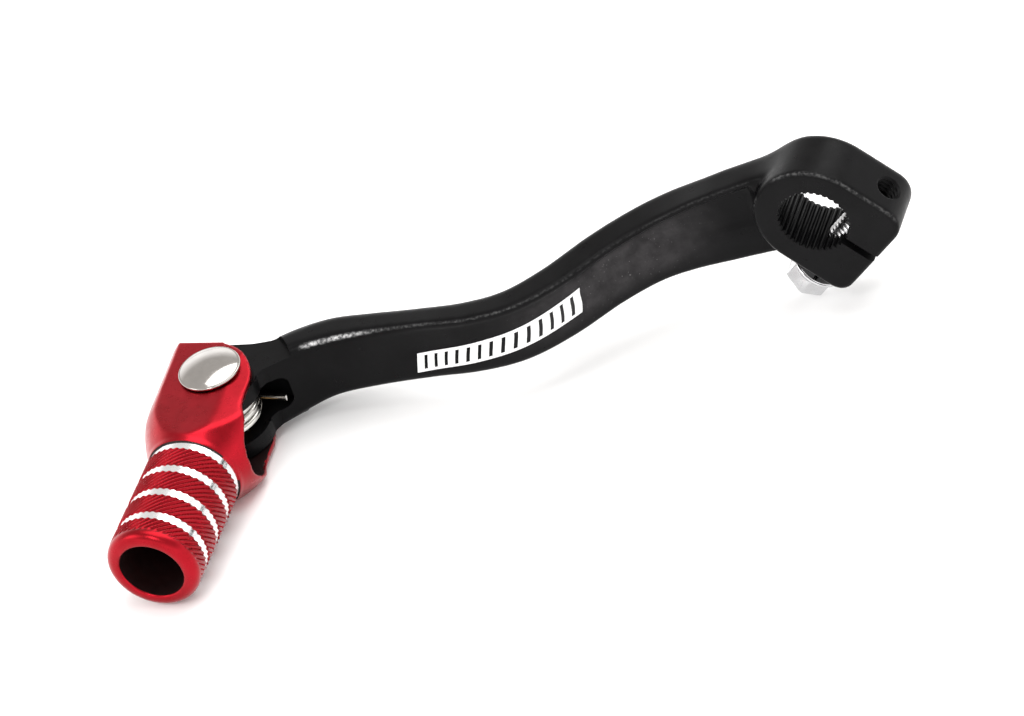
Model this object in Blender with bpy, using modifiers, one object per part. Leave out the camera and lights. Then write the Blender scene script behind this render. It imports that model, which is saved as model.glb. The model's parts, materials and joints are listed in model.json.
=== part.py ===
"""Folding gear shift lever for an off-road motorcycle, left-hand side.

Frame: metres, +Z up. The origin is on the axis of the splined bore, inside the clamp.
The bore runs along Y and +Y points away from the engine. The arm runs towards +X, the front.
Lengths below are in millimetres and are turned into metres when a shape is made.
"""
import math

import bmesh
import bpy
from mathutils import Matrix, Vector

MM = 0.001
ROUND = 48                      # sides of a plain round shape
GAP = 0.3                       # clearance between pieces that rest on each other

# Clamp eye around the shift shaft
CLAMP_OUTER = 5.4               # from the origin to the clamp's face on +Y
CLAMP_INNER = 6.8               # and to its face on -Y
EYE_RADIUS = 11.9
EAR_REACH = 14.1                # from the bore axis to the ends of the ears
EAR_CORNER = 3.0                # of the lower ear, under the bolt's head
TAPPED_EAR_CORNER = 4.8         # of the upper ear, where the bolt's thread ends
SPLINE_TEETH = 36
SPLINE_ROOT_RADIUS = 7.2
SPLINE_TIP_RADIUS = 6.65
SLIT_WIDTH = 1.6
CLAMP_EDGE = 0.7
EAR_ANGLE = math.radians(225)   # direction of the slit and the ears in the XZ plane

# Pinch bolt, across the slit
BOLT_REACH = 8.0                # from the bore axis to the bolt axis
BOLT_RADIUS = 3.0
BOLT_TIP = -7.4                 # along the bolt axis, measured from the bore's plane
TAPPED_RADIUS = 2.55
WASHER_RADIUS = 5.2
WASHER_THICK = 1.4
FLANGE_RADIUS = 5.3
FLANGE_THICK = 1.3
HEX_ACROSS_FLATS = 8.0
HEX_HEIGHT = 3.8

# Folding tip: the pin axis is vertical and crosses the tip's own axis, which is parallel to Y
PIN_X = 114.1
PIN_Y = 41.0
TIP_Z = -13.6
HEAD_RADIUS = 12.9
HEAD_BACK_RADIUS = 13.5
HEAD_BACK = -8.5                # all distances along the tip are from the pin axis
HEAD_SHOULDER = 9.0
PEG_START = 19.1
PEG_END = 45.4
PEG_RADIUS = 9.25
RING_RADIUS = 8.95
RING_WIDTH = 1.85
RING_PITCH = 6.4
RING_COUNT = 4
PEG_LIP = 1.6
PEG_BORE_RADIUS = 6.3
PEG_BORE_DEPTH = 24.0
FLAT_HALF_HEIGHT = 9.7
SLOT_HALF_HEIGHT = 7.4
SLOT_CENTRE = 8.0
SLOT_WALL = 8.6                 # inner side of the closed wall, in front of the pin

# Fork at the end of the arm, inside the slot of the tip
FORK_HALF_HEIGHT = 7.1
FORK_RADIUS = 8.3
FORK_BACK = 10.4
POCKET_HALF_HEIGHT = 3.7
POCKET_RADIUS = 8.9
POCKET_REACH = 12.2             # how far the pocket runs back into the arm, for the spring's leg
POCKET_DEPTH = 7.6
POCKET_CORNER = 2.0
RELIEF_RADIUS = 15.5

# Pivot pin, bush, screw and return spring
PIN_RADIUS = 3.0
BUSH_INNER = 3.1
BUSH_OUTER = 4.4
BUSH_SEAT = 4.7
PLATE_HOLE = 3.3
DOME_RADIUS = 6.2
DOME_RIM = 0.5
DOME_HEIGHT = 1.9
PIN_SCREW_RADIUS = 1.5
SCREW_HEAD_RADIUS = 4.6
SCREW_SOCKET = 1.5
SPRING_WIRE = 0.8               # radius of the wire
SPRING_COIL = 6.4               # radius of the coil, to the middle of the wire
SPRING_TURNS = 2.8
SPRING_PITCH = 1.85
LEG_REACH = 10.9

# Arm: stations along its middle line (x, y, z), then half thickness and half height
ARM = [
    (3.0, -2.5, 0.45, 4.3, 10.65),
    (6.0, -2.2, 0.0, 4.3, 10.2),
    (9.5, -1.8, -0.8, 4.2, 9.5),
    (13.0, -1.2, -1.35, 3.95, 9.2),
    (20.0, 0.9, -2.1, 3.9, 8.6),
    (28.0, 2.8, -3.4, 4.1, 7.8),
    (34.5, 5.9, -4.3, 4.0, 7.3),
    (41.5, 11.6, -5.2, 3.9, 7.1),
    (49.0, 19.4, -6.3, 3.8, 7.0),
    (56.5, 24.8, -7.3, 3.6, 7.0),
    (65.0, 26.9, -8.3, 3.4, 7.0),
    (75.0, 27.1, -9.5, 3.2, 7.1),
    (86.0, 27.3, -10.8, 3.5, 7.2),
    (95.0, 28.2, -11.7, 4.0, 7.3),
    (101.5, 30.4, -12.7, 4.0, 7.8),
    (107.0, 34.6, -13.3, 3.9, 8.0),
]
ARM_STEPS = 4                   # sections between two stations
ARM_CORNER = 2.2

FINISHES = {                    # base colour, roughness, metallic
    "lever_arm": ((0.012, 0.012, 0.013), 0.45, 0.6),
    "folding_tip": ((0.55, 0.01, 0.02), 0.25, 0.9),
    "pivot_pin": ((0.72, 0.71, 0.69), 0.12, 1.0),
    "pivot_screw": ((0.72, 0.71, 0.69), 0.25, 1.0),
    "pivot_bush": ((0.45, 0.28, 0.12), 0.35, 1.0),
    "return_spring": ((0.50, 0.50, 0.50), 0.25, 1.0),
    "pinch_bolt": ((0.62, 0.62, 0.62), 0.30, 1.0),
    "lock_washer": ((0.03, 0.03, 0.03), 0.40, 1.0),
}


def clear_scene():
    for obj in list(bpy.data.objects):
        bpy.data.objects.remove(obj, do_unlink=True)


def make_collection(name):
    collection = bpy.data.collections.new(name)
    bpy.context.scene.collection.children.link(collection)
    return collection


def make_material(name):
    colour, roughness, metallic = FINISHES[name]
    material = bpy.data.materials.new(name)
    material.use_nodes = True
    shader = material.node_tree.nodes["Principled BSDF"]
    shader.inputs["Base Color"].default_value = (*colour, 1.0)
    shader.inputs["Roughness"].default_value = roughness
    shader.inputs["Metallic"].default_value = metallic
    return material


def mesh_from(source, name, collection):
    """Turn a curve or an object with modifiers into a plain welded mesh object in the same place."""
    bpy.context.view_layer.update()
    evaluated = source.evaluated_get(bpy.context.evaluated_depsgraph_get())
    mesh = bpy.data.meshes.new_from_object(evaluated)
    bm = bmesh.new()
    bm.from_mesh(mesh)
    bmesh.ops.remove_doubles(bm, verts=bm.verts, dist=0.000002)
    bmesh.ops.recalc_face_normals(bm, faces=bm.faces)
    bm.to_mesh(mesh)
    bm.free()
    obj = bpy.data.objects.new(name, mesh)
    obj.matrix_world = source.matrix_world
    collection.objects.link(obj)
    bpy.data.objects.remove(source, do_unlink=True)
    return obj


def as_cutter(obj):
    obj.hide_render = True
    obj.display_type = "WIRE"
    return obj


def boolean(target, tool, operation):
    modifier = target.modifiers.new(tool.name, "BOOLEAN")
    modifier.operation = operation
    modifier.solver = "EXACT"
    modifier.object = tool


def cut(target, *tools):
    for tool in tools:
        boolean(target, as_cutter(tool), "DIFFERENCE")


def join(target, *tools):
    for tool in tools:
        boolean(target, as_cutter(tool), "UNION")


def keep_inside(target, *tools):
    for tool in tools:
        boolean(target, as_cutter(tool), "INTERSECT")


def axes_matrix(x_axis, y_axis, origin):
    """Frame whose first two axes are given; its third is their cross product."""
    x_axis, y_axis = Vector(x_axis).normalized(), Vector(y_axis).normalized()
    rotation = Matrix((x_axis, y_axis, x_axis.cross(y_axis))).transposed()
    return Matrix.Translation(Vector(origin) * MM) @ rotation.to_4x4()


def prism(name, outline, low, high, frame, collection):
    """Flat outline, in millimetres, drawn out from low to high along the frame's third axis."""
    curve = bpy.data.curves.new(name, "CURVE")
    curve.dimensions = "2D"
    curve.fill_mode = "BOTH"
    curve.extrude = 0.5 * (high - low) * MM
    spline = curve.splines.new("POLY")
    spline.points.add(len(outline) - 1)
    for point, (u, v) in zip(spline.points, outline):
        point.co = (u * MM, v * MM, 0.0, 1.0)
    spline.use_cyclic_u = True
    drawn = bpy.data.objects.new(name + "_outline", curve)
    drawn.matrix_world = frame @ Matrix.Translation((0.0, 0.0, 0.5 * (low + high) * MM))
    collection.objects.link(drawn)
    return mesh_from(drawn, name, collection)


def turned(name, profile, frame, collection, sides=ROUND):
    """Profile of (radius, height) pairs, from the top down its outer side, spun about the third axis."""
    mesh = bpy.data.meshes.new(name)
    points = [(radius * MM, 0.0, height * MM) for radius, height in profile]
    mesh.from_pydata(points, [(i, i + 1) for i in range(len(points) - 1)], [])
    obj = bpy.data.objects.new(name + "_profile", mesh)
    obj.matrix_world = frame
    collection.objects.link(obj)
    screw = obj.modifiers.new("Screw", "SCREW")
    screw.axis = "Z"
    screw.steps = sides
    screw.render_steps = sides
    screw.use_merge_vertices = True
    screw.merge_threshold = 0.000001
    return mesh_from(obj, name, collection)


def cylinder(name, radius, low, high, frame, collection, sides=ROUND):
    return turned(name, [(0.0, high), (radius, high), (radius, low), (0.0, low)], frame, collection, sides)


def arc(centre, radius, start, end, steps):
    """Points along an arc, angles in degrees."""
    points = []
    for i in range(steps + 1):
        angle = math.radians(start + (end - start) * i / steps)
        points.append((centre[0] + radius * math.cos(angle), centre[1] + radius * math.sin(angle)))
    return points


def finish(obj, name, collection):
    """Make an object one of the lever's pieces."""
    obj.name = name
    obj.data.name = name
    obj.hide_render = False
    obj.display_type = "TEXTURED"
    for old in list(obj.users_collection):
        old.objects.unlink(obj)
    collection.objects.link(obj)
    obj.data.materials.clear()
    obj.data.materials.append(make_material(name))
    obj.data.shade_smooth()
    obj.data.set_sharp_from_angle(angle=math.radians(32))
    return obj


def put_on_axis(obj, pivot):
    """Parent an object to the pivot empty without moving it."""
    bpy.context.view_layer.update()
    obj.parent = pivot
    obj.matrix_parent_inverse = pivot.matrix_world.inverted()


# Frames used more than once
BORE = axes_matrix((1, 0, 0), (0, 0, 1), (0, 0, 0))                 # third axis is -Y
SLIT_DIR = Vector((math.cos(EAR_ANGLE), 0.0, math.sin(EAR_ANGLE)))
HEAD_DIR = Vector((-math.sin(EAR_ANGLE), 0.0, math.cos(EAR_ANGLE)))  # from the tapped ear to the bolt head
CLAMP_MIDDLE = Vector((0.0, 0.5 * (CLAMP_OUTER - CLAMP_INNER), 0.0))
BOLT = axes_matrix((0, 1, 0), HEAD_DIR.cross(Vector((0, 1, 0))), SLIT_DIR * BOLT_REACH + CLAMP_MIDDLE)
PIN = axes_matrix((1, 0, 0), (0, 1, 0), (PIN_X, PIN_Y, TIP_Z))      # third axis is +Z
PEG = axes_matrix((1, 0, 0), (0, 0, -1), (PIN_X, PIN_Y, TIP_Z))     # third axis is +Y
SLOT = axes_matrix((0, 1, 0), (0, 0, 1), (PIN_X, PIN_Y, TIP_Z))     # third axis is +X
FLATS = axes_matrix((1, 0, 0), (0, 0, 1), (PIN_X, PIN_Y, TIP_Z))    # third axis is -Y


def smooth_between(rows, index, t):
    """Catmull-Rom value between two rows of the arm table."""
    p0 = rows[max(index - 1, 0)]
    p1 = rows[index]
    p2 = rows[index + 1]
    p3 = rows[min(index + 2, len(rows) - 1)]
    values = []
    for a, b, c, d in zip(p0, p1, p2, p3):
        values.append(0.5 * (2 * b + (c - a) * t + (2 * a - 5 * b + 4 * c - d) * t ** 2
                             + (3 * b - a - 3 * c + d) * t ** 3))
    return values


def arm_section(half_thick, half_high, corner):
    """Rounded rectangle, counter-clockwise."""
    points = []
    for sx, sz, start in ((1, 1, 0), (-1, 1, 90), (-1, -1, 180), (1, -1, 270)):
        centre = (sx * (half_thick - corner), sz * (half_high - corner))
        points += arc(centre, corner, start, start + 90, 3)
    return points


def arm_body(collection):
    """The forged arm: rounded rectangular sections strung along its curved middle line."""
    rows = [smooth_between(ARM, i, s / ARM_STEPS) for i in range(len(ARM) - 1) for s in range(ARM_STEPS)]
    rows.append(list(ARM[-1]))
    bm = bmesh.new()
    rings = []
    for i, (x, y, z, half_thick, half_high) in enumerate(rows):
        before, after = rows[max(i - 1, 0)], rows[min(i + 1, len(rows) - 1)]
        along = Vector((after[0] - before[0], after[1] - before[1], 0.0)).normalized()
        outward = Vector((-along.y, along.x, 0.0))
        ring = []
        for u, v in arm_section(half_thick, half_high, ARM_CORNER):
            ring.append(bm.verts.new((Vector((x, y, z + v)) + outward * u) * MM))
        rings.append(ring)
    count = len(rings[0])
    for first, second in zip(rings, rings[1:]):
        for k in range(count):
            nxt = (k + 1) % count
            bm.faces.new((first[k], first[nxt], second[nxt], second[k]))
    bm.faces.new(rings[0])
    bm.faces.new(rings[-1])
    bmesh.ops.recalc_face_normals(bm, faces=bm.faces)
    mesh = bpy.data.meshes.new("arm_body")
    bm.to_mesh(mesh)
    bm.free()
    obj = bpy.data.objects.new("arm_body", mesh)
    collection.objects.link(obj)
    return obj


def in_slit_frame(points):
    """Turn (along slit, towards bolt head) pairs into (x, z) pairs."""
    turned_points = []
    for q, t in points:
        place = SLIT_DIR * q + HEAD_DIR * t
        turned_points.append((place.x, place.z))
    return turned_points


def clamp_outline():
    """Round eye drawn out into two ears, the tapped one rounder than the other."""
    points = arc((0, 0), EYE_RADIUS, 90, 270, 28)
    for corner, side, start in ((TAPPED_EAR_CORNER, -1, 270), (EAR_CORNER, 1, 0)):
        centre = (EAR_REACH - corner, side * (EYE_RADIUS - corner))
        points += arc(centre, corner, start, start + 90, 6)
    return in_slit_frame(points)


def spline_outline():
    """Internal teeth with flat crests and flat roots, four points a tooth."""
    points = []
    pitch = 2 * math.pi / SPLINE_TEETH
    for tooth in range(SPLINE_TEETH):
        for share, radius in ((-0.34, SPLINE_ROOT_RADIUS), (-0.12, SPLINE_TIP_RADIUS),
                              (0.12, SPLINE_TIP_RADIUS), (0.34, SPLINE_ROOT_RADIUS)):
            angle = (tooth + share) * pitch
            points.append((radius * math.cos(angle), radius * math.sin(angle)))
    return points


def fork_outline():
    """Plan of the ears: round towards the foot peg, square in front where the tip's wall stops."""
    points = arc((0, 0), FORK_RADIUS, 0, 190, 20)
    points += [(-9.0, -3.9), (-11.2, -6.2), (-13.0, -7.2), (-10.6, -11.0)]
    points += [(-8.0, -11.4), (-4.5, -FORK_BACK - 0.2), (0.0, -FORK_BACK)]
    points += arc((FORK_RADIUS - 1.0, 1.0 - FORK_BACK), 1.0, 270, 360, 3)
    return points


def make_arm(parts, cutters):
    arm = arm_body(cutters)
    clamp = prism("clamp_block", clamp_outline(), -CLAMP_OUTER, CLAMP_INNER, BORE, cutters)
    bevel = clamp.modifiers.new("Edge", "BEVEL")
    bevel.width = CLAMP_EDGE * MM
    bevel.segments = 2
    bevel.limit_method = "ANGLE"
    bevel.angle_limit = math.radians(40)
    fork = prism("fork_block", fork_outline(), -FORK_HALF_HEIGHT, FORK_HALF_HEIGHT, PIN, cutters)
    reliefs = [cylinder("relief_top", RELIEF_RADIUS, FORK_HALF_HEIGHT, 20.0, PIN, cutters),
               cylinder("relief_bottom", RELIEF_RADIUS, -20.0, -FORK_HALF_HEIGHT, PIN, cutters)]
    cut(arm, *reliefs)
    join(arm, fork, clamp)

    bore = prism("spline_cut", spline_outline(), -9.0, 9.0, BORE, cutters)
    slit = prism("slit_cut", in_slit_frame([(5.0, -SLIT_WIDTH / 2), (20.0, -SLIT_WIDTH / 2),
                                            (20.0, SLIT_WIDTH / 2), (5.0, SLIT_WIDTH / 2)]),
                 -9.0, 9.0, BORE, cutters)
    bolt_hole = cylinder("bolt_hole_cut", BOLT_RADIUS + GAP, BOLT_TIP - 1.0, 20.0, BOLT, cutters, 32)
    tapped_hole = cylinder("tapped_hole_cut", TAPPED_RADIUS, -20.0, 0.0, BOLT, cutters, 32)
    cut(arm, bore, slit, bolt_hole, tapped_hole)

    pocket = cylinder("spring_pocket_cut", POCKET_RADIUS, -POCKET_HALF_HEIGHT, POCKET_HALF_HEIGHT, PIN, cutters)
    inner = POCKET_HALF_HEIGHT - POCKET_CORNER
    mouth = [(12.0, -POCKET_HALF_HEIGHT), (12.0, POCKET_HALF_HEIGHT)]
    mouth += arc((POCKET_CORNER - POCKET_REACH, inner), POCKET_CORNER, 90, 180, 4)
    mouth += arc((POCKET_CORNER - POCKET_REACH, -inner), POCKET_CORNER, 180, 270, 4)
    opening = prism("pocket_mouth_cut", mouth, -12.0, POCKET_DEPTH, FLATS, cutters)
    pin_hole = cylinder("bush_seat_cut", BUSH_SEAT, -20.0, 20.0, PIN, cutters)
    cut(arm, pocket, opening, pin_hole)
    finish(arm, "lever_arm", parts)


def head_profile():
    """Outer side of the tip from the peg's open end back to the head, then nothing: the axis closes it."""
    lip = arc((PEG_RADIUS - PEG_LIP, PEG_END - PEG_LIP), PEG_LIP, 90, 0, 4)
    points = [(PEG_BORE_RADIUS, PEG_END - 0.6), (PEG_BORE_RADIUS + 0.6, PEG_END)]
    points += [(radius, height) for radius, height in lip]
    for ring in reversed(range(RING_COUNT)):
        low = PEG_START + ring * RING_PITCH
        points += [(PEG_RADIUS, low + RING_WIDTH), (RING_RADIUS, low + RING_WIDTH), (RING_RADIUS, low)]
        if ring:
            points.append((PEG_RADIUS, low))
    points += [(9.4, PEG_START - 0.6), (10.4, 16.4), (11.5, 14.0), (12.4, 11.6), (HEAD_RADIUS, HEAD_SHOULDER)]
    points += [(HEAD_BACK_RADIUS, HEAD_BACK + 0.6), (HEAD_BACK_RADIUS - 0.6, HEAD_BACK), (0.0, HEAD_BACK)]
    return points


def make_tip(parts, cutters, pivot):
    profile = [(0.0, PEG_END - PEG_BORE_DEPTH - 3.0), (PEG_BORE_RADIUS, PEG_END - PEG_BORE_DEPTH)]
    tip = turned("tip_body", profile + head_profile(), PEG, cutters)
    half = FLAT_HALF_HEIGHT
    side = [(20, half), (-4.6, half), (-10.2, half - 1.6), (-20, half - 4.4),
            (-20, 4.4 - half), (-10.2, 1.6 - half), (-4.6, -half), (20, -half)]
    flats = prism("head_flats", side, -60.0, 20.0, FLATS, cutters)
    plan = [(20, HEAD_BACK - 1.0), (20, 60), (-20, 60), (-20, 14.5), (-12.9, 14.0), (-10.4, 11.0)]
    plan += [(-9.0, 8.0), (-8.5, 5.0)] + arc((2.6, 2.5), 11.0, 180, 255, 12) + [(0.5, HEAD_BACK - 1.0)]
    keep_inside(tip, flats, prism("head_plan", plan, -30.0, 30.0, PIN, cutters))

    slot_outline = arc((SLOT_CENTRE, 0), SLOT_HALF_HEIGHT, 90, -90, 16)
    slot_outline += [(-20.0, -SLOT_HALF_HEIGHT), (-20.0, SLOT_HALF_HEIGHT)]
    slot = prism("slot_cut", slot_outline, -20.0, SLOT_WALL, SLOT, cutters)
    pin_hole = cylinder("pin_hole_cut", PLATE_HOLE, -20.0, 20.0, PIN, cutters)
    sink_low, sink_high = -FLAT_HALF_HEIGHT - 0.2, -SLOT_HALF_HEIGHT + 0.5
    sink = turned("countersink_cut", [(0.0, sink_high), (PLATE_HOLE, sink_high),
                                      (SCREW_HEAD_RADIUS + GAP + 0.2, sink_low),
                                      (0.0, sink_low)], PIN, cutters)
    cut(tip, slot, pin_hole, sink)
    put_on_axis(finish(tip, "folding_tip", parts), pivot)


def make_pivot(parts, cutters, pivot):
    """Dome-headed pin from above, countersunk screw from below, bush between them and the ears."""
    base = FLAT_HALF_HEIGHT + GAP
    shank_end = -SLOT_HALF_HEIGHT + 0.2
    crown = [(DOME_RADIUS * math.sin(math.radians(a)),
              base + DOME_RIM + (DOME_HEIGHT - DOME_RIM) * math.cos(math.radians(a))) for a in range(0, 91, 15)]
    bore_depth = 9.0
    pin = turned("pin_body", crown + [(DOME_RADIUS, base), (PIN_RADIUS, base), (PIN_RADIUS, shank_end),
                                      (PIN_SCREW_RADIUS + GAP, shank_end),
                                      (PIN_SCREW_RADIUS + GAP, shank_end + bore_depth),
                                      (0.0, shank_end + bore_depth)], PIN, cutters)
    put_on_axis(finish(pin, "pivot_pin", parts), pivot)

    head_low = -FLAT_HALF_HEIGHT
    head_high = shank_end - GAP
    screw = turned("screw_body", [(0.0, shank_end + bore_depth - 1.5), (PIN_SCREW_RADIUS, shank_end + bore_depth - 1.5),
                                  (PIN_SCREW_RADIUS, head_high), (PIN_RADIUS - 0.3, head_high),
                                  (SCREW_HEAD_RADIUS, head_low), (0.0, head_low)], PIN, cutters)
    cut(screw, cylinder("hex_socket_cut", SCREW_SOCKET, head_low - 1.0, head_low + 1.3, PIN, cutters, 6))
    put_on_axis(finish(screw, "pivot_screw", parts), pivot)

    top = FORK_HALF_HEIGHT - 0.1
    bush = turned("bush_body", [(BUSH_INNER, top), (BUSH_OUTER, top), (BUSH_OUTER, -top),
                                (BUSH_INNER, -top), (BUSH_INNER, top)], PIN, cutters)
    finish(bush, "pivot_bush", parts)


def spring_points():
    """Straight leg that bears in the arm's pocket, then the coil, from the bottom up."""
    points = []
    start = math.radians(270)
    steps = int(SPRING_TURNS * 16)
    low = -0.5 * SPRING_TURNS * SPRING_PITCH
    points.append((-LEG_REACH, -5.5, 0.8 * low))
    points.append((-5.5, -6.1, 0.95 * low))
    points.append((-2.0, -SPRING_COIL, low))
    for i in range(steps + 1):
        angle = start + 2 * math.pi * i / 16
        height = low + SPRING_PITCH * SPRING_TURNS * i / steps
        points.append((SPRING_COIL * math.cos(angle), SPRING_COIL * math.sin(angle), height))
    return points


def make_spring(parts, cutters):
    curve = bpy.data.curves.new("spring_wire", "CURVE")
    curve.dimensions = "3D"
    curve.bevel_depth = SPRING_WIRE * MM
    curve.bevel_resolution = 2
    curve.use_fill_caps = True
    points = spring_points()
    spline = curve.splines.new("POLY")
    spline.points.add(len(points) - 1)
    for point, (x, y, z) in zip(spline.points, points):
        point.co = (x * MM, y * MM, z * MM, 1.0)
    wire = bpy.data.objects.new("spring_wire", curve)
    wire.matrix_world = PIN
    cutters.objects.link(wire)
    finish(mesh_from(wire, "spring_body", cutters), "return_spring", parts)


def make_pinch_bolt(parts, cutters):
    seat = EYE_RADIUS + GAP
    washer_end = seat + WASHER_THICK
    washer = turned("washer_body", [(BOLT_RADIUS + GAP, washer_end), (WASHER_RADIUS, washer_end),
                                    (WASHER_RADIUS, seat), (BOLT_RADIUS + GAP, seat),
                                    (BOLT_RADIUS + GAP, washer_end)], BOLT, cutters, 32)
    split = [(0, -0.4), (WASHER_RADIUS + 1, -0.4), (WASHER_RADIUS + 1, 0.4), (0, 0.4)]
    cut(washer, prism("washer_split_cut", split, seat - 1.0, washer_end + 1.0, BOLT, cutters))
    finish(washer, "lock_washer", parts)

    flange = washer_end + GAP
    hex_start = flange + FLANGE_THICK
    hex_end = hex_start + HEX_HEIGHT
    corner = HEX_ACROSS_FLATS / math.sqrt(3)
    bolt = turned("bolt_body", [(0.0, hex_start), (FLANGE_RADIUS - 1.0, hex_start),
                                (FLANGE_RADIUS, hex_start - 0.6), (FLANGE_RADIUS, flange),
                                (BOLT_RADIUS, flange), (BOLT_RADIUS, BOLT_TIP + 0.8),
                                (BOLT_RADIUS - 0.8, BOLT_TIP), (0.0, BOLT_TIP)], BOLT, cutters, 32)
    head = cylinder("hex_head", corner, hex_start - 0.8, hex_end, BOLT, cutters, 6)
    crown = turned("hex_crown", [(0.0, hex_end + 1.0), (corner - 1.7, hex_end + 0.6), (corner + 0.6, hex_end - 0.7),
                                 (corner + 0.6, hex_start - 2.0), (0.0, hex_start - 2.0)], BOLT, cutters, 32)
    keep_inside(head, crown)
    join(bolt, head)
    finish(bolt, "pinch_bolt", parts)


def main():
    clear_scene()
    parts = make_collection("gear_shift_lever")
    cutters = make_collection("cutters")
    pivot = bpy.data.objects.new("tip_pivot", None)
    pivot.location = (PIN_X * MM, PIN_Y * MM, TIP_Z * MM)
    parts.objects.link(pivot)

    make_arm(parts, cutters)
    make_pinch_bolt(parts, cutters)
    make_tip(parts, cutters, pivot)
    make_pivot(parts, cutters, pivot)
    make_spring(parts, cutters)


main()
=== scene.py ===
"""Looks of the folding gear shift lever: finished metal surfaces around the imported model.

Metres, +Z up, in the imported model's own frame. Lengths named below are in millimetres and are
multiplied by MM where a shape is made. The bore's axis is Y through the origin, and the folding
tip turns about a vertical pin.
"""
import bisect
import json
import math

import bmesh
import bpy
from mathutils import Matrix, Vector


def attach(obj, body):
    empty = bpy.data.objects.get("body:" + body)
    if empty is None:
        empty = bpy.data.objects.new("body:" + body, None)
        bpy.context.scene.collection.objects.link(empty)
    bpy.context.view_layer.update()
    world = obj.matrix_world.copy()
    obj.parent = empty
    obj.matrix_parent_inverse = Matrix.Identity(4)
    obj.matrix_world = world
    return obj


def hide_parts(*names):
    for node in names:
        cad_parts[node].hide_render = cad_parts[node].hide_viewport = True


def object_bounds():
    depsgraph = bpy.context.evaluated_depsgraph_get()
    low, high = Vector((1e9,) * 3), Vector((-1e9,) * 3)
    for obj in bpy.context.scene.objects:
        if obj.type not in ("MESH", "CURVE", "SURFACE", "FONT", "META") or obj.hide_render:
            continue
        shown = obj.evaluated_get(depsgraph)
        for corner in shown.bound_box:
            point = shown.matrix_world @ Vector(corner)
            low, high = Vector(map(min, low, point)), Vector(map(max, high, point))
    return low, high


MM = 0.001

# ---------------------------------------------------------------- driving dimensions, as on the CAD part
CLAMP_OUTER = 5.4
CLAMP_INNER = 6.8
EYE_RADIUS = 11.9
EAR_REACH = 14.1
EAR_CORNER = 3.0
TAPPED_EAR_CORNER = 4.8
FRONT_FILLET = 0.7
BACK_FILLET = 1.8
TEETH = 36
TOOTH_ROOT = 7.2
TOOTH_TIP = 6.65
SLIT_WIDTH = 1.6
EAR_ANGLE = math.radians(225)

BOLT_REACH = 8.0
BOLT_RADIUS = 3.0
BOLT_CORE = 2.5
BOLT_PITCH = 1.0
BOLT_TIP = -7.4
WASHER_RADIUS = 5.2
WASHER_THICK = 1.4
FLANGE_RADIUS = 5.3
FLANGE_THICK = 1.3
HEX_ACROSS_FLATS = 8.0
HEX_HEIGHT = 3.8
GAP = 0.3

HEAD_RADIUS = 12.9
HEAD_BACK_RADIUS = 13.5
HEAD_BACK = -8.5
FLAT_HALF_HEIGHT = 9.7
SLOT_HALF_HEIGHT = 7.4
SLOT_CENTRE = 8.0
SLOT_WALL = 8.6
PLATE_HOLE = 3.3
PEG_START = 19.1
PEG_END = 45.4
PEG_RADIUS = 9.25
PEG_BORE_RADIUS = 6.3
PEG_BORE_DEPTH = 24.0
RING_RADIUS = 8.95
RING_WIDTH = 1.85
RING_PITCH = 6.4
RING_COUNT = 4
RIBS = 42
RIB_DEPTH = 0.5
RIB_SLANT = 0.84                # advance along the peg for each unit around it
PEG_LIP = 1.9                   # rounding round the peg's open end
LIP_STEP = 0.1                  # the lip stands this much lower than the ribs
PEG_MOUTH = 0.5                 # rounding of its bore's edge
PEG_BORE_CONE = 3.0             # drill point at the bore's bottom
PEG_SKIN = 8.5                  # what lies further out on the peg is its outer surface

FORK_HALF_HEIGHT = 7.1
FORK_RADIUS = 8.3
FORK_BACK = 10.4
RELIEF_RADIUS = 15.5
POCKET_HALF_HEIGHT = 3.7
POCKET_RADIUS = 8.9
POCKET_REACH = 12.2
POCKET_DEPTH = 7.6
POCKET_CORNER = 2.0
BUSH_SEAT = 4.7
PIN_RADIUS = 3.0
DOME_RADIUS = 6.2
DOME_RIM = 0.45
DOME_HEIGHT = 1.9
SPRING_WIRE = 0.8
SPRING_COIL = 6.4
SPRING_TURNS = 2.8
SPRING_PITCH = 1.85
LEG_REACH = 10.9

# Arm: stations along its middle line (x, y, z), then half thickness and half height
ARM = [
    (3.0, -2.5, 0.45, 4.3, 10.65),
    (6.0, -2.2, 0.0, 4.3, 10.2),
    (9.5, -1.8, -0.8, 4.2, 9.5),
    (13.0, -1.2, -1.35, 3.95, 9.2),
    (20.0, 0.9, -2.1, 3.9, 8.6),
    (28.0, 2.8, -3.4, 4.1, 7.8),
    (34.5, 5.9, -4.3, 4.0, 7.3),
    (41.5, 11.6, -5.2, 3.9, 7.1),
    (49.0, 19.4, -6.3, 3.8, 7.0),
    (56.5, 24.8, -7.3, 3.6, 7.0),
    (65.0, 26.9, -8.3, 3.4, 7.0),
    (75.0, 27.1, -9.5, 3.2, 7.1),
    (86.0, 27.3, -10.8, 3.5, 7.2),
    (95.0, 28.2, -11.7, 4.0, 7.3),
    (101.5, 30.4, -12.7, 4.0, 7.8),
    (107.0, 34.6, -13.3, 3.9, 8.0),
]
ARM_STEPS = 14
CLAMP_END = 12.0                # the arm proper starts here
RECESS_DEPTH = 1.35             # pocket left by the die in the arm's outer face
RECESS_SHARE = 0.60             # share of the arm's height that it takes
VOXEL_ARM = 0.36
VOXEL_HEAD = 0.27

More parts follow.
